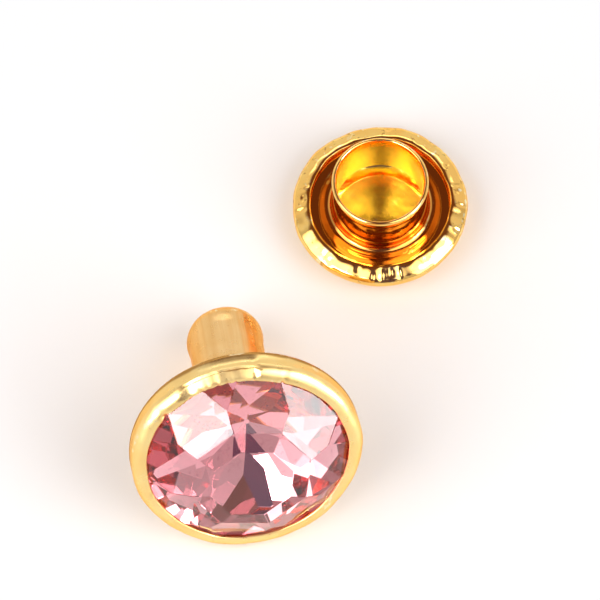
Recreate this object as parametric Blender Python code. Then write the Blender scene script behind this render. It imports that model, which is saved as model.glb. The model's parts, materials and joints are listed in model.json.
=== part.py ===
"""Rhinestone rivet: a jewelled stud lying on its rim and its post, and its capped back beside it."""

import math

import bmesh
import bpy
from mathutils import Matrix, Vector

MM = 0.001

# Fit between pieces, and the distances below which points or planes count as one
CLEARANCE = 0.02 * MM
SAME_POINT = 0.002 * MM
WELD = 0.0001 * MM
ON_PLANE = 0.00002 * MM

# How finely round shapes are cut into faces
HEAD_TURN_STEPS = 60
SMALL_TURN_STEPS = 48
DOME_STEPS = 8
RIM_STEPS = 7
ROLL_STEPS = 6
TIP_STEPS = 5
BEND_STEPS = 4
INNER_BEND_STEPS = 3
EDGE_STEPS = 2
RAMP_STEPS = 3

# Edges sharper than this are not smoothed over
SHEET_SHARP = math.radians(25)
FACET_SHARP = math.radians(1)

# Stone. Heights are above the plane of the head's widest circle.
GIRDLE_BOTTOM = -0.22 * MM
CROWN_SIDES = 8
TABLE_HEIGHT = 2.10 * MM
TABLE_APOTHEM = 1.70 * MM
STAR_DROP = 0.35 * MM
STAR_APOTHEM = 2.45 * MM
BREAK_TILT = math.radians(45)
PAVILION_TILT = math.radians(22.5)
PAVILION_BREAK_TILT = math.radians(25)
PAVILION_BREAK_RADIUS = 1.97 * MM
CULET_RADIUS = 0.12 * MM
STONE_TURN = math.radians(-10)

# Setting cup
HEAD_RADIUS = 5.0 * MM
CUP_WALL = 0.25 * MM
BEZEL_LIP = 0.64 * MM
BEZEL_RISE = 0.50 * MM
BEZEL_EDGE = 0.12 * MM
BEZEL_NOSE_START = 120
FACET_ROOM = 0.08 * MM
CUP_SIDE = 0.50 * MM
CUP_TAPER = 0.06 * MM
CUP_CORNER = 0.35 * MM
CUP_FLOOR_BEND = 0.50 * MM
HOLE_DRAW = 0.04 * MM

# Post
NECK_RADIUS = 1.42 * MM
NECK_LENGTH = 0.9 * MM
SHAFT_RADIUS = 1.65 * MM
SHAFT_STEP = 0.16 * MM
POST_WALL = 0.22 * MM
POST_LENGTH = 8.45 * MM
POST_TIP_ROUND = 1.05 * MM
POST_TIP_TURN = math.radians(76)
FLANGE_RADIUS = 2.05 * MM
FLANGE_ROOM = 0.05 * MM
FLANGE_BEND = 0.36 * MM
FLATS = 4
FLAT_WIDTH = 1.65 * MM
FLAT_TOP_ROOM = 0.74 * MM
FLAT_TIP_ROOM = 0.08 * MM
FLAT_RAMP = 0.42 * MM
FLAT_FLOOR_WIDTH = 1.35 * MM
FLAT_RECESS = 0.08 * MM

# Capped back. Heights are above the lowest point of its dome.
BACK_RADIUS = 3.80 * MM
BACK_WALL = 0.24 * MM
BACK_FLAT_RADIUS = 0.70 * MM
BACK_DOME_HEIGHT = 1.30 * MM
BACK_RIM_RISE = 0.38 * MM
BACK_LIP = 0.73 * MM
BACK_LIP_END = 100
POST_FIT = 0.19 * MM
TUBE_WALL = 0.19 * MM
TUBE_RISE = 2.35 * MM
TUBE_FLARE = 0.05 * MM
TUBE_FLARE_LENGTH = 0.35 * MM
TUBE_BEND = 0.28 * MM
BACK_FLANGE_ROOM = 0.16 * MM
FLANGE_HUMP = 0.62 * MM
FLANGE_JOIN = 120
FLANGE_END = 45

# Sizes that follow from those above
GIRDLE_RADIUS = HEAD_RADIUS - CUP_TAPER - CUP_WALL - CLEARANCE
STAR_HEIGHT = TABLE_HEIGHT - STAR_DROP
BEZEL_OPENING_RADIUS = HEAD_RADIUS - BEZEL_LIP
BACK_OPENING_RADIUS = BACK_RADIUS - BACK_LIP
BACK_FLANGE_RADIUS = BACK_RADIUS - BACK_WALL - BACK_FLANGE_ROOM
TUBE_RADIUS = SHAFT_RADIUS + POST_FIT + TUBE_WALL

# Where the two parts lie
STUD_TURN = math.radians(8)
BACK_ASIDE = 5.7 * MM
BACK_BEHIND = 13.15 * MM

GOLD_SATIN = ("satin_gold", (0.86, 0.63, 0.26, 1.0), 0.28, 1.0)
GOLD_BRIGHT = ("bright_gold", (0.90, 0.64, 0.20, 1.0), 0.10, 1.0)
STONE_PINK = ("pink_stone", (0.92, 0.45, 0.55, 1.0), 0.03, 0.0)


def clear_scene():
    for obj in list(bpy.data.objects):
        bpy.data.objects.remove(obj, do_unlink=True)


def material(name, colour, roughness, metallic):
    made = bpy.data.materials.get(name)
    if made:
        return made
    made = bpy.data.materials.new(name)
    made.use_nodes = True
    shader = made.node_tree.nodes["Principled BSDF"]
    shader.inputs["Base Color"].default_value = colour
    shader.inputs["Roughness"].default_value = roughness
    shader.inputs["Metallic"].default_value = metallic
    made.diffuse_color = colour
    return made


def add_object(name, bm, finish, sharp_from):
    mesh = bpy.data.meshes.new(name)
    bm.to_mesh(mesh)
    bm.free()
    mesh.materials.append(material(*finish))
    mesh.shade_smooth()
    mesh.set_sharp_from_angle(angle=sharp_from)
    obj = bpy.data.objects.new(name, mesh)
    bpy.context.scene.collection.objects.link(obj)
    return obj


def arc(centre, radii, start, end, steps):
    """Points (radius, height) on an elliptical arc, angles in degrees from the outward direction."""
    points = []
    for i in range(steps + 1):
        angle = math.radians(start + (end - start) * i / steps)
        points.append(
            Vector((centre[0] + radii[0] * math.cos(angle), centre[1] + radii[1] * math.sin(angle)))
        )
    return points


def without_repeats(points):
    kept = [points[0]]
    for point in points[1:]:
        if (point - kept[-1]).length > SAME_POINT:
            kept.append(point)
    return kept


def blend(before, corner, after, radius, steps):
    """Points of the arc that rounds a corner between two straight legs."""
    back = (before - corner).normalized()
    on = (after - corner).normalized()
    half = back.angle(on) / 2
    centre = corner + (back + on).normalized() * radius / math.sin(half)
    start = corner + back * radius / math.tan(half) - centre
    sweep = start.angle_signed(corner + on * radius / math.tan(half) - centre)
    return [centre + Matrix.Rotation(-sweep * i / steps, 2) @ start for i in range(steps + 1)]


def offset(skin, wall):
    """The same line one wall to its left, for the other face of pressed sheet."""
    other = []
    for i, point in enumerate(skin):
        into = (point - skin[i - 1]).normalized() if i else (skin[1] - point).normalized()
        out_of = (skin[i + 1] - point).normalized() if i < len(skin) - 1 else into
        along = (into + out_of).normalized()
        other.append(point + Vector((-along.y, along.x)) * wall / along.dot(into))
    return other


def sheet_edge(start, end, outward):
    """Half-round edge of the sheet, from one face's end to the other's, bulging outward."""
    middle = (start + end) / 2
    spoke = start - middle
    points = []
    for i in range(1, EDGE_STEPS + 1):
        angle = math.pi * i / (EDGE_STEPS + 1)
        points.append(middle + spoke * math.cos(angle) + outward * spoke.length * math.sin(angle))
    return points


def revolve(outline, steps):
    """Solid turned from a closed outline of (radius, height) points. One on the axis becomes one vertex."""
    bm = bmesh.new()
    rings = []
    for point in outline:
        if point.x < SAME_POINT:
            rings.append([bm.verts.new((0, 0, point.y))] * steps)
            continue
        ring = []
        for i in range(steps):
            angle = 2 * math.pi * i / steps
            ring.append(bm.verts.new((point.x * math.cos(angle), point.x * math.sin(angle), point.y)))
        rings.append(ring)
    for ring, following in zip(rings, rings[1:] + rings[:1]):
        for i in range(steps):
            j = (i + 1) % steps
            corners = [ring[i], ring[j], following[j], following[i]]
            face = [v for k, v in enumerate(corners) if v not in corners[:k]]
            if len(face) > 2:
                bm.faces.new(face)
    bmesh.ops.recalc_face_normals(bm, faces=bm.faces)
    return bm


def grind(bm, azimuth, tilt, radius, height, side):
    """Cut one flat facet: its plane passes (radius, height) at this azimuth and leans out by tilt."""
    outward = Vector((math.cos(azimuth), math.sin(azimuth), 0))
    normal = outward * math.sin(tilt) + Vector((0, 0, side * math.cos(tilt)))
    cut = bmesh.ops.bisect_plane(
        bm,
        geom=bm.verts[:] + bm.edges[:] + bm.faces[:],
        dist=ON_PLANE,
        plane_co=outward * radius + Vector((0, 0, height)),
        plane_no=normal,
        clear_outer=True,
    )
    edges = [item for item in cut["geom_cut"] if isinstance(item, bmesh.types.BMEdge)]
    if edges:
        bmesh.ops.edgeloop_fill(bm, edges=edges)


def grind_ring(bm, count, first, tilt, radius, height, side):
    for i in range(count):
        grind(bm, first + 2 * math.pi * i / count, tilt, radius, height, side)


def stone_height_at_bezel():
    return BEZEL_RISE - BEZEL_EDGE - CLEARANCE - FACET_ROOM


def crown_tilt():
    """The main facets run from the star's edge down to the height of the stone under the bezel's edge."""
    return math.atan2(STAR_HEIGHT - stone_height_at_bezel(), BEZEL_OPENING_RADIUS - STAR_APOTHEM)


def pavilion_height(radius):
    """Lowest that the pavilion's facets reach at this radius, which is along the edges between them."""
    reach = radius * math.cos(math.pi / CROWN_SIDES)
    return GIRDLE_BOTTOM - (GIRDLE_RADIUS - reach) * math.tan(PAVILION_TILT)


def flange_top():
    """The bend from the post's flange into its bore just clears the pavilion."""
    bend_axis = NECK_RADIUS - POST_WALL + FLANGE_BEND
    drop = (FLANGE_BEND + CLEARANCE) / math.cos(PAVILION_TILT)
    return pavilion_height(bend_axis) - drop + FLANGE_BEND


def cup_depth():
    """Depth of the cup's underside below the head's widest circle: the flange lies on the cup's floor."""
    return POST_WALL + CLEARANCE + CUP_WALL - flange_top()


def rhinestone():
    """Faceted stone: table, star tier, main tier with break facets, girdle, and a low pavilion."""
    step = 2 * math.pi / CROWN_SIDES
    bm = bmesh.new()
    culet_depth = GIRDLE_RADIUS * math.tan(PAVILION_BREAK_TILT)
    bmesh.ops.create_cone(
        bm,
        cap_ends=True,
        segments=HEAD_TURN_STEPS,
        radius1=GIRDLE_RADIUS,
        radius2=GIRDLE_RADIUS,
        depth=2 * (culet_depth + TABLE_HEIGHT),
    )
    # Crown
    grind(bm, 0, 0, 0, TABLE_HEIGHT, 1)
    star_tilt = math.atan2(TABLE_HEIGHT - STAR_HEIGHT, STAR_APOTHEM - TABLE_APOTHEM)
    grind_ring(bm, CROWN_SIDES, 0, star_tilt, STAR_APOTHEM, STAR_HEIGHT, 1)
    grind_ring(bm, CROWN_SIDES, 0, crown_tilt(), STAR_APOTHEM, STAR_HEIGHT, 1)
    edge = stone_height_at_bezel()
    grind_ring(bm, CROWN_SIDES, step / 2, BREAK_TILT, BEZEL_OPENING_RADIUS, edge, 1)
    # Pavilion
    grind_ring(bm, CROWN_SIDES, step / 2, PAVILION_TILT, GIRDLE_RADIUS, GIRDLE_BOTTOM, -1)
    break_height = GIRDLE_BOTTOM - (GIRDLE_RADIUS - PAVILION_BREAK_RADIUS) * math.tan(PAVILION_TILT)
    grind_ring(bm, CROWN_SIDES, 0, PAVILION_BREAK_TILT, PAVILION_BREAK_RADIUS, break_height, -1)
    culet = GIRDLE_BOTTOM - (GIRDLE_RADIUS - CULET_RADIUS) * math.tan(PAVILION_TILT)
    grind(bm, 0, 0, 0, culet, -1)
    bmesh.ops.remove_doubles(bm, verts=bm.verts, dist=WELD)
    bmesh.ops.recalc_face_normals(bm, faces=bm.faces)
    stone = add_object("rhinestone", bm, STONE_PINK, FACET_SHARP)
    stone.rotation_euler = (0, 0, STONE_TURN)
    return stone


def setting_cup():
    """Drawn cup whose rim is rolled over the stone, with a hole in its floor for the post."""
    hole = NECK_RADIUS + CLEARANCE
    side_foot = HEAD_RADIUS - CUP_TAPER
    depth = cup_depth()
    floor_radius = FLANGE_RADIUS + FLANGE_ROOM
    slope = math.atan2(depth - CUP_SIDE, side_foot - floor_radius)
    slope_degrees = math.degrees(slope)
    corner_foot = (side_foot - CUP_CORNER, -CUP_SIDE)
    # Piercing draws the sheet in round the hole. The flat that lies on the leather starts outside the shaft.
    outer = [Vector((hole, HOLE_DRAW - depth)), Vector((SHAFT_RADIUS + CLEARANCE, -depth))]
    foot = arc(corner_foot, (CUP_CORNER, CUP_CORNER), slope_degrees - 90, 0, BEND_STEPS)
    bend_corner = Vector((floor_radius, -depth))
    outer += blend(outer[-1], bend_corner, foot[0], CUP_FLOOR_BEND, INNER_BEND_STEPS)
    outer += foot
    rim_width = HEAD_RADIUS - BEZEL_OPENING_RADIUS - BEZEL_EDGE / 2
    outer += arc((HEAD_RADIUS - rim_width, 0), (rim_width, BEZEL_RISE), 0, 90, RIM_STEPS)
    outer = without_repeats(outer)
    wall_radius = GIRDLE_RADIUS + CLEARANCE
    lip_underside = BEZEL_RISE - BEZEL_EDGE
    lip_slope = math.tan(crown_tilt())
    seat = [
        Vector((BEZEL_OPENING_RADIUS, lip_underside)),
        Vector((wall_radius, lip_underside - (wall_radius - BEZEL_OPENING_RADIUS) * lip_slope)),
    ]
    inner_slope_top = -CUP_SIDE + CUP_WALL * math.tan(slope)
    seat += [
        Vector((wall_radius, inner_slope_top)),
        Vector((floor_radius, CUP_WALL - depth)),
    ]
    hole_round = FLANGE_BEND - POST_WALL - CLEARANCE
    round_centre = (hole + hole_round, CUP_WALL - depth - hole_round)
    seat += arc(round_centre, (hole_round, hole_round), 90, 180, INNER_BEND_STEPS)
    nose = arc(
        (BEZEL_OPENING_RADIUS + BEZEL_EDGE / 2, BEZEL_RISE - BEZEL_EDGE / 2),
        (BEZEL_EDGE / 2, BEZEL_EDGE / 2),
        BEZEL_NOSE_START,
        180,
        EDGE_STEPS,
    )
    section = without_repeats(outer + nose + seat)
    return add_object("setting_cup", revolve(section, HEAD_TURN_STEPS), GOLD_SATIN, SHEET_SHARP)


def neck_end():
    """Depth at which the neck widens to the shaft, a neck's length past the cup's underside."""
    return cup_depth() + NECK_LENGTH


def flat_span():
    """Depths where the flats start and end: past the step under the neck, and before the round tip."""
    return neck_end() + SHAFT_STEP + FLAT_TOP_ROOM, tip_centre_depth() - FLAT_TIP_ROOM


def press_flats(bm):
    """Press the shaft's flats: each face of the sheet stops at the die, with a short ramp at both ends.
    The die's floor is sunk below the chord of the flat, which leaves a shallow slope along each side."""
    start, end = flat_span()
    full_depth = SHAFT_RADIUS - math.sqrt(SHAFT_RADIUS**2 - (FLAT_WIDTH / 2) ** 2)
    for vert in bm.verts:
        depth = -vert.co.z
        into = min(max(min(depth - start, end - depth) / FLAT_RAMP, 0), 1)
        if into == 0:
            continue
        eased = into * into * (3 - 2 * into)
        outer_face = Vector(vert.co.xy).length > SHAFT_RADIUS - POST_WALL / 2
        face = SHAFT_RADIUS - (0 if outer_face else POST_WALL)
        for i in range(FLATS):
            angle = 2 * math.pi * i / FLATS
            facing = Vector((math.cos(angle), math.sin(angle), 0))
            on_floor = abs(facing.cross(vert.co).z) < FLAT_FLOOR_WIDTH / 2
            sunk = full_depth + (FLAT_RECESS if on_floor else 0)
            beyond = vert.co.dot(facing) - (face - sunk * eased)
            if beyond > 0:
                vert.co -= facing * beyond


def tip_centre_depth():
    """Depth of the axis circle that the tip's round corner turns about."""
    crown_radius = (SHAFT_RADIUS - POST_TIP_ROUND) / math.cos(POST_TIP_TURN) + POST_TIP_ROUND
    return POST_LENGTH - crown_radius + (crown_radius - POST_TIP_ROUND) * math.sin(POST_TIP_TURN)


def tip_profile(wall):
    """Closed end of the post, one wall inside its outer face: a round corner, then a shallow crown."""
    reach = SHAFT_RADIUS - POST_TIP_ROUND
    depth = tip_centre_depth()
    corner = POST_TIP_ROUND - wall
    turned = math.degrees(POST_TIP_TURN)
    points = arc((reach, -depth), (corner, corner), 0, -turned, TIP_STEPS)
    crown_centre = -depth + reach * math.tan(POST_TIP_TURN)
    crown_radius = reach / math.cos(POST_TIP_TURN) + corner
    crown_radii = (crown_radius, crown_radius)
    points += arc((0, crown_centre), crown_radii, -turned, -90, EDGE_STEPS)[1:]
    return points


def post():
    """Drawn hollow post: flange inside the cup, neck, shaft with pressed flats, and a closed round end."""
    top = flange_top()
    bore = NECK_RADIUS - POST_WALL
    flange_end = FLANGE_RADIUS - POST_WALL / 2
    neck = neck_end()
    start, end = flat_span()
    ramp = [FLAT_RAMP * i / RAMP_STEPS for i in range(RAMP_STEPS + 1)]
    marks = [start + step for step in ramp] + [end - step for step in ramp[::-1]]
    bend_centre = (bore + FLANGE_BEND, top - FLANGE_BEND)
    outer_bend = FLANGE_BEND - POST_WALL
    inside = [Vector((flange_end, top))]
    inside += arc(bend_centre, (FLANGE_BEND, FLANGE_BEND), 90, 180, BEND_STEPS)
    inside += [Vector((bore, -neck)), Vector((SHAFT_RADIUS - POST_WALL, -neck - SHAFT_STEP))]
    inside += [Vector((SHAFT_RADIUS - POST_WALL, -depth)) for depth in marks]
    inside += tip_profile(POST_WALL)
    outside = [Vector((flange_end, top - POST_WALL))]
    outside += arc(bend_centre, (outer_bend, outer_bend), 90, 180, EDGE_STEPS)
    outside += [Vector((NECK_RADIUS, -neck)), Vector((SHAFT_RADIUS, -neck - SHAFT_STEP))]
    outside += [Vector((SHAFT_RADIUS, -depth)) for depth in marks]
    outside += tip_profile(0)
    edge = sheet_edge(outside[0], inside[0], Vector((1, 0)))
    bm = revolve(inside + outside[::-1] + edge, SMALL_TURN_STEPS)
    press_flats(bm)
    return add_object("post", bm, GOLD_SATIN, SHEET_SHARP)


def back_profile(inset):
    """Face of the cap, inset from its outer one: flat, dome and rolled rim, from the axis to the lip."""
    dome_width = BACK_RADIUS - BACK_FLAT_RADIUS
    dome = arc((BACK_FLAT_RADIUS, BACK_DOME_HEIGHT), (dome_width, BACK_DOME_HEIGHT), -90, 0, DOME_STEPS)
    rim_width = BACK_RADIUS - BACK_OPENING_RADIUS - BACK_WALL / 2
    rim_centre = (BACK_RADIUS - rim_width, BACK_DOME_HEIGHT)
    rim_radii = (rim_width - inset, BACK_RIM_RISE - inset)
    rim = arc(rim_centre, rim_radii, 0, BACK_LIP_END, ROLL_STEPS)
    if inset:
        dome = offset(dome, inset)
    return [Vector((0, inset))] + dome[:-1] + rim


def back_cap():
    """Pressed dome of the back, with its rim rolled inwards over the tube's flange."""
    outer = back_profile(0)
    inner = back_profile(BACK_WALL)
    edge = sheet_edge(outer[-1], inner[-1], Vector((-1, 0)))
    bm = revolve(outer + edge + inner[::-1], SMALL_TURN_STEPS)
    return add_object("back_cap", bm, GOLD_BRIGHT, SHEET_SHARP)


def back_tube():
    """Eyelet of the back: a thin tube with a slightly flared mouth, on a convex flange held by the rim."""
    crest = BACK_DOME_HEIGHT + BACK_RIM_RISE - BACK_WALL - CLEARANCE
    mouth = BACK_DOME_HEIGHT + TUBE_RISE
    # The bend and the flange's hump share a tangent where they join. The hump rises to a level run,
    # turns down again at the flange's edge, and is no wider than the flange.
    join, end = math.radians(FLANGE_JOIN), math.radians(FLANGE_END)
    start = TUBE_RADIUS + TUBE_BEND * (1 - math.cos(join))
    hump = min(FLANGE_HUMP, (BACK_FLANGE_RADIUS - start) / (math.cos(end) - math.cos(join)))
    rise_centre = (start - hump * math.cos(join), crest - hump)
    fall_centre = (BACK_FLANGE_RADIUS - hump * math.cos(end), crest - hump)
    bend_height = crest - hump + (hump + TUBE_BEND) * math.sin(join)
    outer = [
        Vector((TUBE_RADIUS + TUBE_FLARE, mouth)),
        Vector((TUBE_RADIUS + TUBE_FLARE / 3, mouth - TUBE_FLARE_LENGTH / 2)),
        Vector((TUBE_RADIUS, mouth - TUBE_FLARE_LENGTH)),
    ]
    bend_centre = (TUBE_RADIUS + TUBE_BEND, bend_height)
    outer += arc(bend_centre, (TUBE_BEND, TUBE_BEND), 180, 180 + FLANGE_JOIN, ROLL_STEPS)
    outer += arc(rise_centre, (hump, hump), FLANGE_JOIN, 90, INNER_BEND_STEPS)[1:]
    outer = without_repeats(outer + arc(fall_centre, (hump, hump), 90, FLANGE_END, BEND_STEPS))
    inner = offset(outer, -TUBE_WALL)
    down = (outer[-1] - outer[-2]).normalized()
    outline = outer + sheet_edge(outer[-1], inner[-1], down) + inner[::-1]
    outline += sheet_edge(inner[0], outer[0], Vector((0, 1)))
    bm = revolve(outline, SMALL_TURN_STEPS)
    return add_object("back_tube", bm, GOLD_BRIGHT, SHEET_SHARP)


def stud_rest():
    """How the stud lies on the round foot of its cup and the round corner of its tip: (lean, height)."""
    foot_radius = HEAD_RADIUS - CUP_TAPER - CUP_CORNER
    rise = foot_radius - (SHAFT_RADIUS - POST_TIP_ROUND)
    run = tip_centre_depth() - CUP_SIDE
    lean = math.atan2(rise, run) - math.asin((POST_TIP_ROUND - CUP_CORNER) / math.hypot(rise, run))
    return lean, foot_radius * math.cos(lean) + CUP_SIDE * math.sin(lean) + CUP_CORNER


def carrier(name, pieces, location, rotation):
    holder = bpy.data.objects.new(name, None)
    bpy.context.scene.collection.objects.link(holder)
    holder.location = location
    holder.rotation_euler = rotation
    for piece in pieces:
        piece.parent = holder
    return holder


def centre_on_floor(whole):
    """Put the origin under the middle of the two parts' common box."""
    bpy.context.view_layer.update()
    corners = []
    for obj in bpy.data.objects:
        if obj.type == "MESH":
            corners += [obj.matrix_world @ vert.co for vert in obj.data.vertices]
    low = [min(corner[i] for corner in corners) for i in range(3)]
    high = [max(corner[i] for corner in corners) for i in range(3)]
    whole.location = (-(low[0] + high[0]) / 2, -(low[1] + high[1]) / 2, -low[2])


def main():
    clear_scene()
    lean, height = stud_rest()
    stud_pieces = [rhinestone(), setting_cup(), post()]
    stud = carrier("stud", stud_pieces, (0, 0, height), (math.pi / 2 - lean, 0, STUD_TURN))
    back = carrier("back", [back_cap(), back_tube()], (BACK_ASIDE, BACK_BEHIND, 0), (0, 0, 0))
    centre_on_floor(carrier("rivet", [stud, back], (0, 0, 0), (0, 0, 0)))


main()
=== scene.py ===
"""Looks of the rhinestone rivet: a satin gold stud with a pink stone, and its polished gold back."""

import json
import math

import bmesh
import bpy
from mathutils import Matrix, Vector

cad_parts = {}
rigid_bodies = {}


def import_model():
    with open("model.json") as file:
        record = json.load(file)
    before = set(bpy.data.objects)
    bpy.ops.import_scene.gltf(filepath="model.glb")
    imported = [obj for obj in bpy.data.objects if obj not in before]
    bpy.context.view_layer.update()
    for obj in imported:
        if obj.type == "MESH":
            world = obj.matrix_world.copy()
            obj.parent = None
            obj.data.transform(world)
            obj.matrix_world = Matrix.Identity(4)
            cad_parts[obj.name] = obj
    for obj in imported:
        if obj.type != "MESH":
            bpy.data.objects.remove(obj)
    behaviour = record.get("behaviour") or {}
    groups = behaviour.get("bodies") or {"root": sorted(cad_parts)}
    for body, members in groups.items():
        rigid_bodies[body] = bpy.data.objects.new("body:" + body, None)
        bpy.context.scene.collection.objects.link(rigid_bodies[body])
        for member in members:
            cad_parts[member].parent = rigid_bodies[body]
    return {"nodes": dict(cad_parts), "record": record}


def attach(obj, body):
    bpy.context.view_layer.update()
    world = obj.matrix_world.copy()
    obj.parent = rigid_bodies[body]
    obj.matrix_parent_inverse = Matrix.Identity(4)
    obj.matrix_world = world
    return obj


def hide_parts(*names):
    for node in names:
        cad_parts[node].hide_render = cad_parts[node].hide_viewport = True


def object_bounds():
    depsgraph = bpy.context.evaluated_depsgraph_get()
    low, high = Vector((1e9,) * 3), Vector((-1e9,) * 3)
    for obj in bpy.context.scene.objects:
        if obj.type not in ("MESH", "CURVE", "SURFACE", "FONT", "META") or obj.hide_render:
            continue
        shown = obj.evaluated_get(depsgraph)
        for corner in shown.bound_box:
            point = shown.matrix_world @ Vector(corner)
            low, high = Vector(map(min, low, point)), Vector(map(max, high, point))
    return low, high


MM = 0.001
UPWARDS = Vector((0, 0, 1))
WHITE = (1, 1, 1, 1)

# View. The lens is very long, because the photo shows hardly any perspective.
VIEW_ELEVATION = math.radians(65)
VIEW_WIDTH = 25.5 * MM
LENS = 800
SENSOR = 36

# Floor. Its shade fades to white between two distances from the middle.
FLOOR_SIZE = 4.0
FLOOR_DROP = 0.01 * MM
FLOOR_COLOUR = (0.955, 0.95, 0.945, 1)
FLOOR_GLOSS = 0.2
SHADE_REACH = (11 * MM, 22 * MM)

# Studio. Spans are parts of a direction of length 1: to the side, to the back or up.
WALLS = (0.62, 0.61, 0.60, 1)
BACK_WALL = (0.84, 0.83, 0.82, 1)
BACK_WALL_SPAN = (0.1, 0.45)
CEILING = (0.16, 0.065, 0.035, 1)
CEILING_SPAN = (0.64, 0.86)
GAP = (0.14, 0.09, 0.15, 1)
GAP_FRONT = (-0.15, 0.05)
GAP_SIDES = (0.24, 0.30)
GAP_FOOT = (0.17, 0.26)
GAP_TOP = (0.93, 0.985)

# Lamps: name, azimuth from the front to the right and elevation in degrees, width, height, radiance, and
# whether it shows through the stone. Panels light everything, and cards only show in metal and stone.
PANELS = (
    ("left_panel", -60, 40, 0.24, 0.32, 2.6, True),
    ("right_panel", 60, 40, 0.24, 0.32, 2.6, False),
)
CARDS = (
    ("left_card", -41, 35, 0.13, 0.12, 12, True),
    ("right_card", 74, 38, 0.10, 0.10, 10, False),
    ("back_card", 180, 36, 0.34, 0.04, 1.7, True),
    ("low_card", 70, 9, 0.09, 0.09, 11, False),
)
LAMP_DISTANCE = 0.25

# A lamp dims towards its edges, between two shares of its size from its middle, down to a share of its glow.
LAMP_EDGE = (0.30, 0.52)
LAMP_EDGE_GLOW = 0.15

# Reflections and passes through glass that a ray of light may make
BOUNCES = 24
GLOSSY_BOUNCES = 16

# Turned pieces. A turn sharper than the corner angle stays a corner, unless both legs there are short.
WELD = 0.00005 * MM
SLICE = 0.0003 * MM
ON_AXIS = 0.002 * MM
CORNER = math.radians(29)
SHORT_CORNER = math.radians(72)
SHORT_LEG = 0.3 * MM
LEG_RATIO = 3
FINE_TURN = math.radians(5)
LONGEST_STEP = 0.16 * MM
TURN_STEPS = 240
RIM_TURN_STEPS = 480
SHEET_SHARP = math.radians(25)

# Turns at which outlines are read: the post's between two of its flats, and the cap's at its second row of
# corners, because the slice at the first row misses one.
POST_READ_TURN = math.radians(45)
CAP_READ_TURN = math.radians(7.5)

# Shares of a noise between which most of it lies
MIDDLE = (0.3, 0.7)

# Satin gold: its deeper and paler patches, the tint of its grazing reflections, and its textures
HEAD_DEEP = (0.96, 0.65, 0.24, 1)
HEAD_PALE = (0.97, 0.73, 0.31, 1)
# Painted shade: the post's gold is a darker, more orange copy of the head's, so that the post looks less
# lit.
POST_SHADED_DEEP = (0.87, 0.53, 0.20, 1)
POST_SHADED_PALE = (0.93, 0.62, 0.28, 1)
SATIN_GRAZING = (1.0, 0.68, 0.36, 1)
SATIN_PATCH = 1.6 * MM
SATIN_BLOTCH = 0.5 * MM
SATIN_ROUGHNESS = (0.26, 0.36)
HAMMER_SIZE = 0.9 * MM
HAMMER_DEPTH = 0.010 * MM
SATIN_GRAIN_SIZE = 0.045 * MM
SATIN_GRAIN_DEPTH = 0.0012 * MM

# Bright gold, in the same way
BACK_MEAN = (1.0, 0.62, 0.17, 1)
BACK_DEEP = (1.0, 0.57, 0.14, 1)
BACK_PALE = (1.0, 0.66, 0.20, 1)
BRIGHT_GRAZING = (1.0, 0.86, 0.62, 1)
BRIGHT_PATCH = 1.1 * MM
BRIGHT_SPECK = 0.2 * MM
BRIGHT_SPECK_SPAN = (0.35, 0.75)
BRIGHT_ROUGHNESS = (0.04, 0.10)
WAVY_SIZE = 0.75 * MM
WAVY_DEPTH = 0.02 * MM
BRIGHT_GRAIN_SIZE = 0.06 * MM
BRIGHT_GRAIN_DEPTH = 0.0004 * MM

# Worn edges, which noise breaks up
SATIN_WORN = (1.0, 0.86, 0.54, 1)
BRIGHT_WORN = (1.0, 0.85, 0.50, 1)
WORN_POINTINESS = (0.53, 0.60)
WORN_BREAK_SIZE = 0.35 * MM
WORN_BREAK_SPAN = (0.4, 0.65)
WORN_SMOOTHER = 0.08

# Lines along the drawn post. To stretch them, most of the height is left out.
LINE_COLOUR = (0.80, 0.42, 0.13, 1)
LINE_SHARE = 0.35
LINE_SIZE = 0.16 * MM
LINE_SPAN = (0.35, 0.65)
LINE_DEPTH = 0.006 * MM
LINE_STRETCH = 0.97

# Painted shade in the fold under the bezel: a darker band low on the cup. Heights on the stud start at the
# stone's table, and those below it are negative.
FOLD_PAINTED_SHADE = (0.46, 0.24, 0.07, 1)
FOLD_TOP = (-2.62 * MM, -2.50 * MM)
FOLD_FOOT = (-3.02 * MM, -2.88 * MM)
FOLD_WANDER = 0.03 * MM
FOLD_WANDER_SIZE = 0.8 * MM
FOLD_WANDER_SPAN = (0.2, 0.8)

# Bore of the back's tube, with its turning lines. Heights on the back start at the floor.
BORE = (1.0, 0.74, 0.17, 1)
BORE_RADIUS = (1.86 * MM, 1.90 * MM)
BORE_ROUGHER = 0.15
BORE_LINE_SIZE = 0.05 * MM
BORE_LINE_DEPTH = 0.008 * MM

# Room under the flange of the back, between its floor, which is a parabola, its top and its side
CAVITY = (1.0, 0.93, 0.60, 1)
CAVITY_CURVE = 43
CAVITY_FLOOR = (0.11 * MM, 0.13 * MM)
CAVITY_TOP = (1.26 * MM, 1.28 * MM)
CAVITY_SIDE = (2.90 * MM, 2.95 * MM)

# Painted shade in the recess between the tube and the rim of the back, and painted dark reflections on the
# rim
RECESS_PAINTED_SHADE = (0.80, 0.34, 0.07, 1)
RECESS_TUBE = (1.94 * MM, 1.98 * MM)
RECESS_RIM = (2.95 * MM, 3.02 * MM)
RECESS_HEIGHT = (1.7 * MM, 3.2 * MM)
RECESS_WANDER = 0.3 * MM
RECESS_WANDER_SIZE = 0.6 * MM
RIM_PAINTED_DARK_REFLECTION = (0.38, 0.18, 0.04, 1)
RIM_DARK_PATCH_SIZE = 0.34 * MM
RIM_DARK_PATCH_SPAN = (0.58, 0.68)
RIM_DARK_PATCH_SHARE = 0.6

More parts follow.
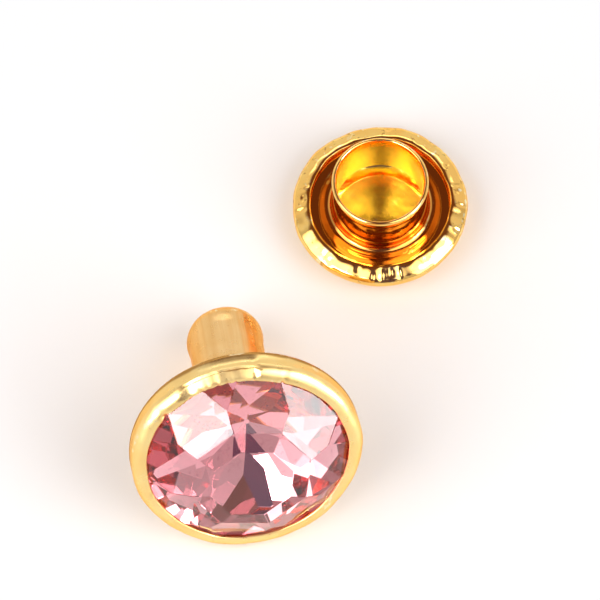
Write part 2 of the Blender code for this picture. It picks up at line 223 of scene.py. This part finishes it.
# Glass and foil of the stone
GLASS_MEAN = (1.0, 0.95, 0.97, 1)
GLASS_DEEP = (1.0, 0.93, 0.95, 1)
GLASS_PALE = (1.0, 0.97, 0.98, 1)
GLASS_IOR = 1.54
GLASS_TINT = (1, 0.45, 0.50, 1)
GLASS_DENSITY = 150
GLASS_CLOUD = 1.2 * MM
GLASS_SPECK = 0.09 * MM
GLASS_SPECK_SPAN = (0.72, 0.80)
GLASS_SPECK_ROUGHNESS = 0.25
GLASS_RIPPLE_SIZE = 0.5 * MM
GLASS_RIPPLE_DEPTH = 0.0006 * MM
FOIL = (0.86, 0.81, 0.83, 1)
FOIL_SPOT = (0.76, 0.64, 0.69, 1)
FOIL_SPOT_SIZE = 0.25 * MM
FOIL_SPOT_SPAN = (0.6, 0.75)
FOIL_ROUGHNESS = (0.015, 0.10)

# Facets. How far a face turns to the front or back says whether it is part of the crown or of the foil.
FOIL_SIDE = -0.2
CROWN_SIDE = 0.2
FACET_ANGLE = math.radians(1)
FACET_EDGE = 0.2 * MM
FACET_BEVEL = 0.02 * MM

# Marks on the bezel, which fade in above its foot
BEZEL_FOOT = -2.75 * MM
BEZEL_REACH = 0.5 * MM

# Waves round the bezel: their count, phase and size
BEZEL_WAVES = (
    (3, 0.4, 0.03 * MM),
    (7, 2.1, 0.018 * MM),
    (13, 0.9, 0.010 * MM),
    (29, 1.3, 0.004 * MM),
)

# Stretch pressed by the setting tool, its ends in degrees: a slope on top and a push inwards at the side
PRESS_SPAN = (80, 126)
PRESS_SOFT = (2, 9)
PRESS_START = 4.50 * MM
PRESS_TOP = -1.66 * MM
PRESS_SLOPE = 0.75
PRESS_IN = 0.11 * MM
PRESS_IN_START = 4.74 * MM

# Nicks of the setting tool, deepest on the lip: turn and half width in degrees, depth
NICK_RADIUS = 4.62 * MM
NICK_REACH = 0.25 * MM
NICK_OUTER = 0.25
NICKS = (
    (139, 3.5, 0.16 * MM),
    (120, 2, 0.05 * MM),
    (113, 1.5, 0.07 * MM),
    (109, 1.6, 0.05 * MM),
    (104, 1.5, 0.08 * MM),
    (98, 2, 0.06 * MM),
    (93, 1.4, 0.05 * MM),
    (66, 1.5, 0.09 * MM),
    (26, 2, 0.04 * MM),
    (196, 3, 0.05 * MM),
)

# Marks on the rim of the back, which fade in above its foot and outside its inner edge
RIM_FOOT = 0.75 * MM
RIM_REACH = 0.4 * MM
RIM_INNER = 2.96 * MM
RIM_WIDTH = 0.1 * MM

# Inside its crest the rim is lifted gradually, so that it falls inwards less steeply than on the solid.
RIM_CREST = 3.62 * MM
RIM_SLOPE = 0.5 * MM
RIM_LIFT = 0.09 * MM

# Waves round the rim: their count, phase and size
RIM_WAVES = ((2, 0.3, 0.02 * MM), (5, 1.7, 0.014 * MM), (11, 0.6, 0.010 * MM), (23, 2.2, 0.006 * MM))

# Small dents on the rim: turn and half width in degrees, radius, half reach along it, depth
RIM_DENT_INWARDS = 0.5
RIM_DENTS = (
    (31, 3.6, 3.38 * MM, 0.22 * MM, 0.025 * MM),
    (14, 2.0, 3.46 * MM, 0.36 * MM, 0.045 * MM),
    (9, 4.4, 3.36 * MM, 0.18 * MM, 0.035 * MM),
    (-2, 1.8, 3.52 * MM, 0.26 * MM, 0.030 * MM),
    (-12, 9, 3.42 * MM, 0.42 * MM, 0.030 * MM),
    (-21, 2.2, 3.58 * MM, 0.20 * MM, 0.020 * MM),
    (-76, 2.0, 3.50 * MM, 0.35 * MM, 0.030 * MM),
    (-82, 1.6, 3.40 * MM, 0.26 * MM, 0.020 * MM),
    (-84, 15, 3.45 * MM, 0.42 * MM, 0.050 * MM),
    (-89, 2.6, 3.50 * MM, 0.36 * MM, 0.035 * MM),
    (-95, 1.7, 3.56 * MM, 0.24 * MM, 0.025 * MM),
    (-107, 3.4, 3.40 * MM, 0.22 * MM, 0.020 * MM),
    (100, 13, 3.45 * MM, 0.40 * MM, 0.050 * MM),
    (84, 3, 3.60 * MM, 0.20 * MM, 0.030 * MM),
    (166, 2.2, 3.40 * MM, 0.34 * MM, 0.030 * MM),
    (177, 5.0, 3.36 * MM, 0.18 * MM, 0.035 * MM),
    (186, 2.4, 3.50 * MM, 0.32 * MM, 0.050 * MM),
    (197, 6.0, 3.58 * MM, 0.20 * MM, 0.030 * MM),
    (-128, 4, 3.55 * MM, 0.25 * MM, 0.030 * MM),
    (60, 4, 3.40 * MM, 0.28 * MM, 0.030 * MM),
)

# Flats of the post
POST_RADIUS = 1.65 * MM
POST_INNER = 1.25 * MM
FLAT_DISTANCE = 1.572 * MM
FLAT_SPAN = (-9.35 * MM, -6.0 * MM)
FLAT_RAMP = 0.3 * MM
FLAT_SOFT = 0.02 * MM
POST_WAVES = ((2, 0.5, 0.008 * MM), (5, 1.9, 0.004 * MM))


def clear_scene():
    for obj in list(bpy.data.objects):
        bpy.data.objects.remove(obj, do_unlink=True)


def add_node(tree, kind, inputs=(), **settings):
    """New node: settings are its own properties, and an input is a value or another node's output."""
    made = tree.nodes.new(kind)
    for name, value in settings.items():
        setattr(made, name, value)
    for name, value in dict(inputs).items():
        if isinstance(value, bpy.types.NodeSocket):
            tree.links.new(value, made.inputs[name])
        else:
            made.inputs[name].default_value = value
    return made


def maths(tree, operation, *values):
    return add_node(tree, "ShaderNodeMath", dict(enumerate(values)), operation=operation).outputs[0]


def product(tree, first, *others):
    for other in others:
        first = maths(tree, "MULTIPLY", first, other)
    return first


def vector(tree, operation, inputs):
    """Outputs of a vector maths node: the first is a vector, and the one named Value is a number."""
    return add_node(tree, "ShaderNodeVectorMath", inputs, operation=operation).outputs


def remap(tree, value, low, high, to_low=0.0, to_high=1.0):
    """The value from low to high as a smooth step between two others."""
    inputs = {0: value, 1: low, 2: high, 3: to_low, 4: to_high}
    return add_node(tree, "ShaderNodeMapRange", inputs, interpolation_type="SMOOTHSTEP").outputs[0]


def mix_colour(tree, share, first, second):
    inputs = {"Factor": share, "A": first, "B": second}
    return add_node(tree, "ShaderNodeMix", inputs, data_type="RGBA").outputs[2]


def place(tree):
    """Place on the piece, in metres."""
    return add_node(tree, "ShaderNodeTexCoord").outputs["Object"]


def noise(tree, size, detail=2.0, roughness=0.5, at=None):
    """Noise of 0 to 1 whose grains are about as large as the size."""
    spot = place(tree) if at is None else at
    inputs = {"Vector": spot, "Scale": 1 / size, "Detail": detail, "Roughness": roughness}
    return add_node(tree, "ShaderNodeTexNoise", inputs).outputs["Fac"]


def bump(tree, height, depth, normal=None):
    """Bump whose height of 0 to 1 stands for the depth."""
    inputs = {"Height": height, "Distance": depth, "Strength": 1.0}
    if normal:
        inputs["Normal"] = normal
    return add_node(tree, "ShaderNodeBump", inputs).outputs[0]


def new_material(name, colour, roughness, metallic):
    """Material, its node tree and its Principled shader."""
    made = bpy.data.materials.new(name)
    made.use_nodes = True
    made.diffuse_color = colour
    tree = made.node_tree
    shader = tree.nodes["Principled BSDF"]
    shader.inputs["Base Color"].default_value = colour
    shader.inputs["Roughness"].default_value = roughness
    shader.inputs["Metallic"].default_value = metallic
    return made, tree, shader


def worn_edges(tree):
    """Share of wear: only along convex edges, and broken up by noise."""
    pointiness = add_node(tree, "ShaderNodeNewGeometry").outputs["Pointiness"]
    edge = remap(tree, pointiness, *WORN_POINTINESS)
    return product(tree, edge, remap(tree, noise(tree, WORN_BREAK_SIZE), *WORN_BREAK_SPAN))


def drawn_lines(tree, away, axis, height):
    """Noise of 0 to 1 in lines along the axis, as a drawing die leaves them."""
    scaled = {0: axis, "Scale": maths(tree, "MULTIPLY", height, LINE_STRETCH)}
    along = vector(tree, "SCALE", scaled)[0]
    across = vector(tree, "SUBTRACT", {0: away, 1: along})[0]
    return remap(tree, noise(tree, LINE_SIZE, detail=3.0, roughness=0.6, at=across), *LINE_SPAN)


def satin_gold(name, deep, pale, origin, axis, drawn):
    """Matt gold plate with a fine grain, paler along its edges, and with painted shade in the fold under the
    bezel.

    Drawn says how strongly the lines of a drawing die show, from 0 to 1.
    """
    made, tree, shader = new_material(name, deep, roughness=0.31, metallic=1)
    shader.inputs["Specular Tint"].default_value = SATIN_GRAZING
    away = vector(tree, "SUBTRACT", {0: place(tree), 1: origin})[0]
    height = vector(tree, "DOT_PRODUCT", {0: away, 1: axis})["Value"]
    lines = product(tree, drawn_lines(tree, away, axis, height), drawn)
    wear = worn_edges(tree)

    uneven = remap(tree, noise(tree, SATIN_PATCH, detail=4), *MIDDLE)
    plate = mix_colour(tree, uneven, deep, pale)
    plate = mix_colour(tree, product(tree, lines, LINE_SHARE), plate, LINE_COLOUR)
    # Painted shade: the fold under the bezel is darkened in the base colour, between the heights of its top
    # and foot.
    wander = remap(tree, noise(tree, FOLD_WANDER_SIZE), *FOLD_WANDER_SPAN, -FOLD_WANDER, FOLD_WANDER)
    level = maths(tree, "ADD", height, wander)
    fold = product(tree, remap(tree, level, *FOLD_TOP, 1, 0), remap(tree, level, *FOLD_FOOT))
    colour = mix_colour(tree, wear, mix_colour(tree, fold, plate, FOLD_PAINTED_SHADE), SATIN_WORN)
    tree.links.new(colour, shader.inputs["Base Color"])

    blotch = remap(tree, noise(tree, SATIN_BLOTCH, detail=5, roughness=0.6), *MIDDLE, *SATIN_ROUGHNESS)
    roughness = maths(tree, "SUBTRACT", blotch, product(tree, wear, WORN_SMOOTHER))
    tree.links.new(roughness, shader.inputs["Roughness"])

    hammered = bump(tree, noise(tree, HAMMER_SIZE, detail=1), HAMMER_DEPTH)
    drawn_surface = bump(tree, lines, LINE_DEPTH, hammered)
    grain = noise(tree, SATIN_GRAIN_SIZE, detail=3, roughness=0.7)
    tree.links.new(bump(tree, grain, SATIN_GRAIN_DEPTH, drawn_surface), shader.inputs["Normal"])
    return made


def cavity_share(tree, radius, height):
    """1 in the room under the flange of the back, over the curve of its floor."""
    floor_height = maths(tree, "MULTIPLY", maths(tree, "POWER", radius, 2), CAVITY_CURVE)
    over_floor = remap(tree, maths(tree, "SUBTRACT", height, floor_height), *CAVITY_FLOOR)
    under_top = remap(tree, height, *CAVITY_TOP, 1, 0)
    return product(tree, over_floor, under_top, remap(tree, radius, *CAVITY_SIDE, 1, 0))


def recess_shade_share(tree, radius, height):
    """Share of painted shade: 1 in the recess between the tube and the rim of the back, up to an uneven
    height.
    """
    wander = remap(tree, noise(tree, RECESS_WANDER_SIZE, detail=3), *MIDDLE, -RECESS_WANDER, RECESS_WANDER)
    level = maths(tree, "ADD", height, wander)
    between = product(tree, remap(tree, radius, *RECESS_TUBE), remap(tree, radius, *RECESS_RIM, 1, 0))
    return product(tree, between, remap(tree, level, *RECESS_HEIGHT, 1, 0), remap(tree, height, *CAVITY_TOP))


def bright_gold(name, centre):
    """Mirror-bright gold plate, a little wavy, with fine turning lines inside the tube, painted shade in the
    recess and painted dark reflections on the rim.
    """
    made, tree, shader = new_material(name, BACK_MEAN, roughness=0.06, metallic=1)
    shader.inputs["Specular Tint"].default_value = BRIGHT_GRAZING
    away = vector(tree, "SUBTRACT", {0: place(tree), 1: centre})[0]
    side, front, height = add_node(tree, "ShaderNodeSeparateXYZ", {0: away}).outputs
    level_part = add_node(tree, "ShaderNodeCombineXYZ", {0: side, 1: front, 2: 0.0}).outputs[0]
    radius = vector(tree, "LENGTH", {0: level_part})["Value"]
    inside = remap(tree, radius, *BORE_RADIUS, 1, 0)

    uneven = remap(tree, noise(tree, BRIGHT_PATCH, detail=4), *MIDDLE)
    colour = mix_colour(tree, uneven, BACK_DEEP, BACK_PALE)
    colour = mix_colour(tree, inside, colour, BORE)
    cavity = product(tree, cavity_share(tree, radius, height), maths(tree, "SUBTRACT", 1, inside))
    colour = mix_colour(tree, cavity, colour, CAVITY)
    # Painted shade: the recess between the tube and the rim is darkened in the base colour.
    colour = mix_colour(tree, recess_shade_share(tree, radius, height), colour, RECESS_PAINTED_SHADE)
    # Painted dark reflections: noisy dark patches mixed into the rim's base colour.
    dark_reflection = remap(tree, noise(tree, RIM_DARK_PATCH_SIZE, detail=3, roughness=0.6), *RIM_DARK_PATCH_SPAN, 0, RIM_DARK_PATCH_SHARE)
    colour = mix_colour(tree, product(tree, dark_reflection, remap(tree, radius, *RECESS_RIM)), colour, RIM_PAINTED_DARK_REFLECTION)
    colour = mix_colour(tree, worn_edges(tree), colour, BRIGHT_WORN)
    tree.links.new(colour, shader.inputs["Base Color"])

    speck = noise(tree, BRIGHT_SPECK, detail=5, roughness=0.6)
    speck = remap(tree, speck, *BRIGHT_SPECK_SPAN, *BRIGHT_ROUGHNESS)
    roughness = maths(tree, "ADD", speck, product(tree, inside, BORE_ROUGHER))
    tree.links.new(roughness, shader.inputs["Roughness"])

    along = add_node(tree, "ShaderNodeCombineXYZ", {0: maths(tree, "ADD", radius, height), 1: 0.0, 2: 0.0})
    lines = noise(tree, BORE_LINE_SIZE, detail=3.0, roughness=0.6, at=along.outputs[0])
    wavy = bump(tree, noise(tree, WAVY_SIZE, detail=1), WAVY_DEPTH)
    grain = bump(tree, noise(tree, BRIGHT_GRAIN_SIZE), BRIGHT_GRAIN_DEPTH, wavy)
    turned = bump(tree, product(tree, lines, inside), BORE_LINE_DEPTH, grain)
    tree.links.new(turned, shader.inputs["Normal"])
    return made


def crown_glass():
    """Clear pink glass. Its tint comes from the depth of glass that the light passes."""
    made, tree, shader = new_material("crown_glass", GLASS_MEAN, roughness=0, metallic=0)
    shader.inputs["Transmission Weight"].default_value = 1
    shader.inputs["IOR"].default_value = GLASS_IOR
    cloud = remap(tree, noise(tree, GLASS_CLOUD, detail=3), *MIDDLE)
    tree.links.new(mix_colour(tree, cloud, GLASS_DEEP, GLASS_PALE), shader.inputs["Base Color"])
    speck = remap(tree, noise(tree, GLASS_SPECK), *GLASS_SPECK_SPAN, 0, GLASS_SPECK_ROUGHNESS)
    tree.links.new(speck, shader.inputs["Roughness"])
    ripple = bump(tree, noise(tree, GLASS_RIPPLE_SIZE), GLASS_RIPPLE_DEPTH)
    tree.links.new(ripple, shader.inputs["Normal"])
    tint = add_node(tree, "ShaderNodeVolumeAbsorption", {"Color": GLASS_TINT, "Density": GLASS_DENSITY})
    tree.links.new(tint.outputs[0], tree.nodes["Material Output"].inputs["Volume"])
    return made


def stone_foil():
    """Mirror coat on the back of the stone, with faint spots."""
    made, tree, shader = new_material("stone_foil", FOIL, roughness=0.02, metallic=1)
    spot = remap(tree, noise(tree, FOIL_SPOT_SIZE, detail=4), *FOIL_SPOT_SPAN)
    tree.links.new(mix_colour(tree, spot, FOIL, FOIL_SPOT), shader.inputs["Base Color"])
    tree.links.new(remap(tree, spot, 0, 1, *FOIL_ROUGHNESS), shader.inputs["Roughness"])
    return made


def welded(node):
    """The node's own surface as a bmesh, with its doubled vertices joined."""
    bm = bmesh.new()
    bm.from_mesh(frame["nodes"][node].data)
    bmesh.ops.remove_doubles(bm, verts=bm.verts, dist=WELD)
    return bm


def foot_of(node):
    """Middle of the node as seen from above, on the floor."""
    spots = [vert.co for vert in frame["nodes"][node].data.vertices]
    middle = [(min(spot[i] for spot in spots) + max(spot[i] for spot in spots)) / 2 for i in range(2)]
    return Vector((*middle, 0))


def add_piece(bm, node, name, finishes):
    """New piece that stands for the node."""
    mesh = bpy.data.meshes.new(name)
    bm.to_mesh(mesh)
    bm.free()
    piece = bpy.data.objects.new(name, mesh)
    bpy.context.scene.collection.objects.link(piece)
    for finish in finishes:
        mesh.materials.append(finish)
    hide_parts(node)
    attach(piece, "root")
    return piece


def spoke(axis, turn):
    """Direction away from the axis at a turn from the level one."""
    level = Vector((-axis.y, axis.x, 0)).normalized() if axis.xy.length else Vector((1, 0, 0))
    return level * math.cos(turn) + axis.cross(level) * math.sin(turn)


def read_outline(bm, origin, axis, turn):
    """Outline of a turned piece at one turn, as (radius, height), and whether it closes.

    One that doesn't close ends on the axis.
    """
    outward = spoke(axis, turn)
    across = axis.cross(outward)
    spots = {}
    for vert in bm.verts:
        away = vert.co - origin
        if abs(away.dot(across)) < SLICE and away.dot(outward) > -SLICE:
            spots[vert] = Vector((away.dot(outward), away.dot(axis)))
    joined = {}
    for vert in spots:
        near = [edge.other_vert(vert) for edge in vert.link_edges]
        joined[vert] = [other for other in near if other in spots]
    ends = [vert for vert in spots if len(joined[vert]) == 1]
    order = [ends[0] if ends else next(iter(spots))]
    while True:
        ahead = [vert for vert in joined[order[-1]] if vert not in order]
        if not ahead:
            break
        order.append(ahead[0])
    points = [spots[vert] for vert in order]
    if not ends:
        return points, True
    if points[0].x > ON_AXIS:
        points = [Vector((0, points[0].y))] + points + [Vector((0, points[-1].y))]
    return points, False


def directions(before, after):
    """Directions in which a curve reaches and leaves a point between two legs."""
    short = max(before.length, after.length) < SHORT_LEG
    if before.angle(after) > (SHORT_CORNER if short else CORNER):
        return before.normalized(), after.normalized()
    if before.length > LEG_RATIO * after.length:
        way = before.normalized()
    elif after.length > LEG_RATIO * before.length:
        way = after.normalized()
    else:
        way = (before.normalized() * after.length + after.normalized() * before.length).normalized()
    return way, way


def curve(start, end, leave, reach):
    """Points from the start to just before the end, on a curve with these directions."""
    leg = end - start
    bend = leave.angle(leg) + leg.angle(reach)
    steps = max(math.ceil(bend / FINE_TURN), math.ceil(leg.length / LONGEST_STEP), 1)
    points = []
    for i in range(steps):
        t = i / steps
        pull = leave * (t * (1 - t) ** 2) - reach * (t ** 2 * (1 - t))
        points.append(start + leg * (t ** 2 * (3 - 2 * t)) + pull * leg.length)
    return points


def fine_outline(points, closed):
    """The outline with its round stretches as finer curves."""
    count = len(points)
    legs = [points[(i + 1) % count] - points[i] for i in range(count if closed else count - 1)]
    made = []
    for i, leg in enumerate(legs):
        before = legs[i - 1] if closed or i else leg
        after = legs[(i + 1) % len(legs)] if closed or i + 1 < len(legs) else leg
        leave = directions(before, leg)[1]
        reach = directions(leg, after)[0]
        made += curve(points[i], points[(i + 1) % count], leave, reach)
    return made if closed else made + [points[-1]]


def revolve(points, closed, origin, axis, marks, turn_steps):
    """Surface of the outline turned about the axis. The marks move its (radius, turn, height)."""
    bm = bmesh.new()
    rows = []
    for point in points:
        on_axis = point.x < ON_AXIS
        row = []
        for step in range(1 if on_axis else turn_steps):
            turn = math.tau * step / turn_steps
            radius, height = marks(point.x, turn, point.y) if marks else point
            row.append(bm.verts.new(origin + axis * height + spoke(axis, turn) * radius))
        rows.append(row if len(row) > 1 else row * turn_steps)
    pairs = zip(rows, rows[1:] + rows[:1] if closed else rows[1:])
    for row, above in pairs:
        for step in range(turn_steps):
            ahead = (step + 1) % turn_steps
            corners = dict.fromkeys((row[step], row[ahead], above[ahead], above[step]))
            bm.faces.new(corners)
    bmesh.ops.recalc_face_normals(bm, faces=bm.faces)
    return bm


def ease(share):
    """Smooth step: 0 below 0, and 1 above 1."""
    share = min(max(share, 0), 1)
    return share * share * (3 - 2 * share)


def waves(turn, sizes):
    """Waviness round the axis, always inwards."""
    return sum(size * (math.sin(count * turn + phase) - 1) for count, phase, size in sizes)


def dent(turn, at, half_width):
    """1 in the middle of a dent and 0 past its ends, for angles in degrees."""
    away = abs((turn - at + 180) % 360 - 180) / half_width
    return ease(1 - away)


def bezel_marks(radius, turn, height):
    """Waves, nicks and the pressed stretch of the bezel."""
    share = ease((height - BEZEL_FOOT) / BEZEL_REACH)
    if not share:
        return radius, height
    degrees = math.degrees(turn)
    rise = ease((degrees - PRESS_SPAN[0]) / PRESS_SOFT[0]) * ease((PRESS_SPAN[1] - degrees) / PRESS_SOFT[1])
    slope = PRESS_TOP - max(radius - PRESS_START, 0) * PRESS_SLOPE
    if height > slope:
        height += (slope - height) * rise * share
    lip = ease((NICK_RADIUS - radius) / NICK_REACH)
    for at, half_width, depth in NICKS:
        height -= depth * dent(degrees, at, half_width) * (NICK_OUTER + (1 - NICK_OUTER) * lip) * share
    radius += waves(turn, BEZEL_WAVES) * share
    radius -= PRESS_IN * rise * share * ease((radius - PRESS_IN_START) / PRESS_IN)
    return radius, height


def rim_marks(radius, turn, height):
    """Waves, dents and the raised inner side of the back's rim."""
    share = ease((height - RIM_FOOT) / RIM_REACH) * ease((radius - RIM_INNER) / RIM_WIDTH)
    if not share:
        return radius, height
    degrees = math.degrees(turn)
    press = 0
    for at, half_width, middle, half_reach, depth in RIM_DENTS:
        press += depth * dent(degrees, at, half_width) * ease(1 - abs(radius - middle) / half_reach)
    wave = waves(turn, RIM_WAVES)
    lift = RIM_LIFT * ease((RIM_CREST - radius) / RIM_SLOPE)
    return radius + (wave - press * RIM_DENT_INWARDS) * share, height + (wave - press + lift) * share


def flat_marks(radius, turn, height):
    """Four soft flats that are pressed into the post between its ends."""
    share = ease((height - FLAT_SPAN[0]) / FLAT_RAMP) * ease((FLAT_SPAN[1] - height) / FLAT_RAMP)
    quarter = math.pi / 2
    off = (turn + quarter / 2) % quarter - quarter / 2
    press = POST_RADIUS - FLAT_DISTANCE / math.cos(off)
    soft = (press + math.hypot(press, FLAT_SOFT)) / 2
    wall = ease((radius - POST_INNER) / FLAT_SOFT)
    return radius - soft * share * wall + waves(turn + height / POST_RADIUS, POST_WAVES) * wall, height


def turned_piece(node, name, finish, origin, axis, marks=None, read_turn=0, turn_steps=TURN_STEPS):
    """A turned node again with round curves, and with its marks."""
    rough = welded(node)
    points, closed = read_outline(rough, origin, axis, read_turn)
    rough.free()
    bm = revolve(fine_outline(points, closed), closed, origin, axis, marks, turn_steps)
    piece = add_piece(bm, node, name, [finish])
    piece.data.shade_smooth()
    piece.data.set_sharp_from_angle(angle=SHEET_SHARP)


def soften_facets(bm, axis):
    """Narrow bevels along the edges between the facets of the crown, as on moulded glass."""
    edges = []
    for edge in bm.edges:
        front = all(face.normal.dot(axis) > CROWN_SIDE for face in edge.link_faces)
        if front and edge.calc_length() > FACET_EDGE and edge.calc_face_angle(0) > FACET_ANGLE:
            edges.append(edge)
    bmesh.ops.bevel(bm, geom=edges, offset=FACET_BEVEL, segments=1, affect="EDGES", clamp_overlap=False)


def stone(axis):
    """The stone with whole facets, glass in front and a mirror coat behind."""
    bm = welded("rhinestone")
    bmesh.ops.dissolve_limit(bm, angle_limit=FACET_ANGLE, verts=bm.verts, edges=bm.edges)
    bm.normal_update()
    soften_facets(bm, axis)
    piece = add_piece(bm, "rhinestone", "faceted_stone", [crown_glass(), stone_foil()])
    piece.data.shade_flat()
    for face in piece.data.polygons:
        face.material_index = 1 if face.normal.dot(axis) < FOIL_SIDE else 0


def floor():
    """Floor that shows the object's shadow and fades to plain white round it."""
    mesh = bpy.data.meshes.new("floor")
    bm = bmesh.new()
    bmesh.ops.create_grid(bm, x_segments=1, y_segments=1, size=FLOOR_SIZE / 2)
    bm.to_mesh(mesh)
    bm.free()
    obj = bpy.data.objects.new("floor", mesh)
    obj.location.z = -FLOOR_DROP
    bpy.context.scene.collection.objects.link(obj)
    made, tree, shader = new_material("floor", FLOOR_COLOUR, roughness=0.6, metallic=0)
    shader.inputs["Specular IOR Level"].default_value = FLOOR_GLOSS
    mesh.materials.append(made)
    far = vector(tree, "LENGTH", {0: place(tree)})["Value"]
    ray = add_node(tree, "ShaderNodeLightPath").outputs
    seen = maths(tree, "MAXIMUM", ray["Is Camera Ray"], ray["Is Glossy Ray"])
    seen = maths(tree, "MAXIMUM", seen, ray["Is Transmission Ray"])
    fade = product(tree, remap(tree, far, *SHADE_REACH), seen)
    white = add_node(tree, "ShaderNodeEmission", {"Color": WHITE, "Strength": 1.0}).outputs[0]
    mixed = add_node(tree, "ShaderNodeMixShader", {0: fade, 1: shader.outputs[0], 2: white}).outputs[0]
    tree.links.new(mixed, tree.nodes["Material Output"].inputs["Surface"])


def world():
    """Pale studio: brighter behind, dim overhead, with a dark gap in front where the camera stands."""
    made = bpy.data.worlds.new("studio")
    bpy.context.scene.world = made
    made.use_nodes = True
    tree = made.node_tree
    coords = add_node(tree, "ShaderNodeTexCoord")
    side, back, height = add_node(tree, "ShaderNodeSeparateXYZ", {0: coords.outputs["Generated"]}).outputs
    walls = mix_colour(tree, remap(tree, back, *BACK_WALL_SPAN), WALLS, BACK_WALL)
    dome = mix_colour(tree, remap(tree, height, *CEILING_SPAN), walls, CEILING)
    narrow = remap(tree, maths(tree, "ABSOLUTE", side), *GAP_SIDES, 1, 0)
    ahead = remap(tree, back, *GAP_FRONT, 1, 0)
    tall = product(tree, remap(tree, height, *GAP_FOOT), remap(tree, height, *GAP_TOP, 1, 0))
    around = mix_colour(tree, product(tree, narrow, ahead, tall), dome, GAP)
    ray = add_node(tree, "ShaderNodeLightPath")
    seen = mix_colour(tree, ray.outputs["Is Camera Ray"], around, WHITE)
    tree.links.new(seen, tree.nodes["Background"].inputs["Color"])


def panel(name, azimuth, elevation, width, height, radiance, through_stone):
    """Soft lamp facing the object, dimmer towards its edges. Its power follows from its radiance."""
    lamp = bpy.data.lights.new(name, "AREA")
    lamp.shape = "RECTANGLE"
    lamp.size = width
    lamp.size_y = height
    lamp.energy = radiance * math.pi * width * height
    lamp.use_nodes = True
    tree = lamp.node_tree
    across = add_node(tree, "ShaderNodeNewGeometry").outputs["Parametric"]
    first, second, _ = add_node(tree, "ShaderNodeSeparateXYZ", {0: across}).outputs
    glow = 1
    for share in (first, second):
        off = maths(tree, "ABSOLUTE", maths(tree, "SUBTRACT", share, 0.5))
        glow = product(tree, glow, remap(tree, off, *LAMP_EDGE, 1, LAMP_EDGE_GLOW))
    tree.links.new(glow, tree.nodes["Emission"].inputs["Strength"])
    obj = bpy.data.objects.new(name, lamp)
    turn = math.radians(azimuth)
    rise = math.radians(elevation)
    outward = Vector((math.sin(turn) * math.cos(rise), -math.cos(turn) * math.cos(rise), math.sin(rise)))
    obj.location = outward * LAMP_DISTANCE
    obj.rotation_mode = "QUATERNION"
    obj.rotation_quaternion = (-outward).to_track_quat("-Z", "Y")
    obj.visible_camera = False
    obj.visible_transmission = through_stone
    bpy.context.scene.collection.objects.link(obj)
    return obj


def card(*lamp):
    """Bright middle of a soft lamp, which shows in the metal and the stone and adds no light elsewhere."""
    panel(*lamp).visible_diffuse = False


def camera(target):
    """Camera at the photo's angle, looking at the target."""
    data = bpy.data.cameras.new("camera")
    data.lens = LENS
    data.sensor_width = SENSOR
    obj = bpy.data.objects.new("camera", data)
    towards_camera = Vector((0, -math.cos(VIEW_ELEVATION), math.sin(VIEW_ELEVATION)))
    obj.location = target + towards_camera * (VIEW_WIDTH * LENS / SENSOR)
    obj.rotation_mode = "QUATERNION"
    obj.rotation_quaternion = (-towards_camera).to_track_quat("-Z", "Y")
    bpy.context.scene.collection.objects.link(obj)
    bpy.context.scene.camera = obj


def light_paths():
    """Enough reflections for the light inside the stone."""
    cycles = bpy.context.scene.cycles
    cycles.max_bounces = BOUNCES
    cycles.glossy_bounces = GLOSSY_BOUNCES
    cycles.transmission_bounces = BOUNCES


clear_scene()
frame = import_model()
cad_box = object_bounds()
mounts = {mount["name"]: mount for mount in frame["record"]["mounts"]}
table = Vector(mounts["stone_table"]["pos_m"])
stud_axis = Vector(mounts["stone_table"]["axis"]).normalized()
back_centre = foot_of("back_cap")

camera((cad_box[0] + cad_box[1]) / 2)
light_paths()
head_gold = satin_gold("head_gold", HEAD_DEEP, HEAD_PALE, table, stud_axis, drawn=0.0)
# Painted shade: the post gets a darker copy of the head's satin gold.
shaded_post_gold = satin_gold("shaded_post_gold", POST_SHADED_DEEP, POST_SHADED_PALE, table, stud_axis, drawn=1.0)
back_gold = bright_gold("back_gold", back_centre)
stone(stud_axis)
turned_piece("setting_cup", "gold_setting", head_gold, table, stud_axis, bezel_marks)
turned_piece("post", "hollow_post", shaded_post_gold, table, stud_axis, flat_marks, POST_READ_TURN)
turned_piece("back_cap", "domed_cap", back_gold, back_centre, UPWARDS, rim_marks,
             CAP_READ_TURN, RIM_TURN_STEPS)
turned_piece("back_tube", "eyelet_tube", back_gold, back_centre, UPWARDS)
floor()
world()
for lamp in PANELS:
    panel(*lamp)
for lamp in CARDS:
    card(*lamp)

bpy.context.scene.view_settings.view_transform = "Standard"
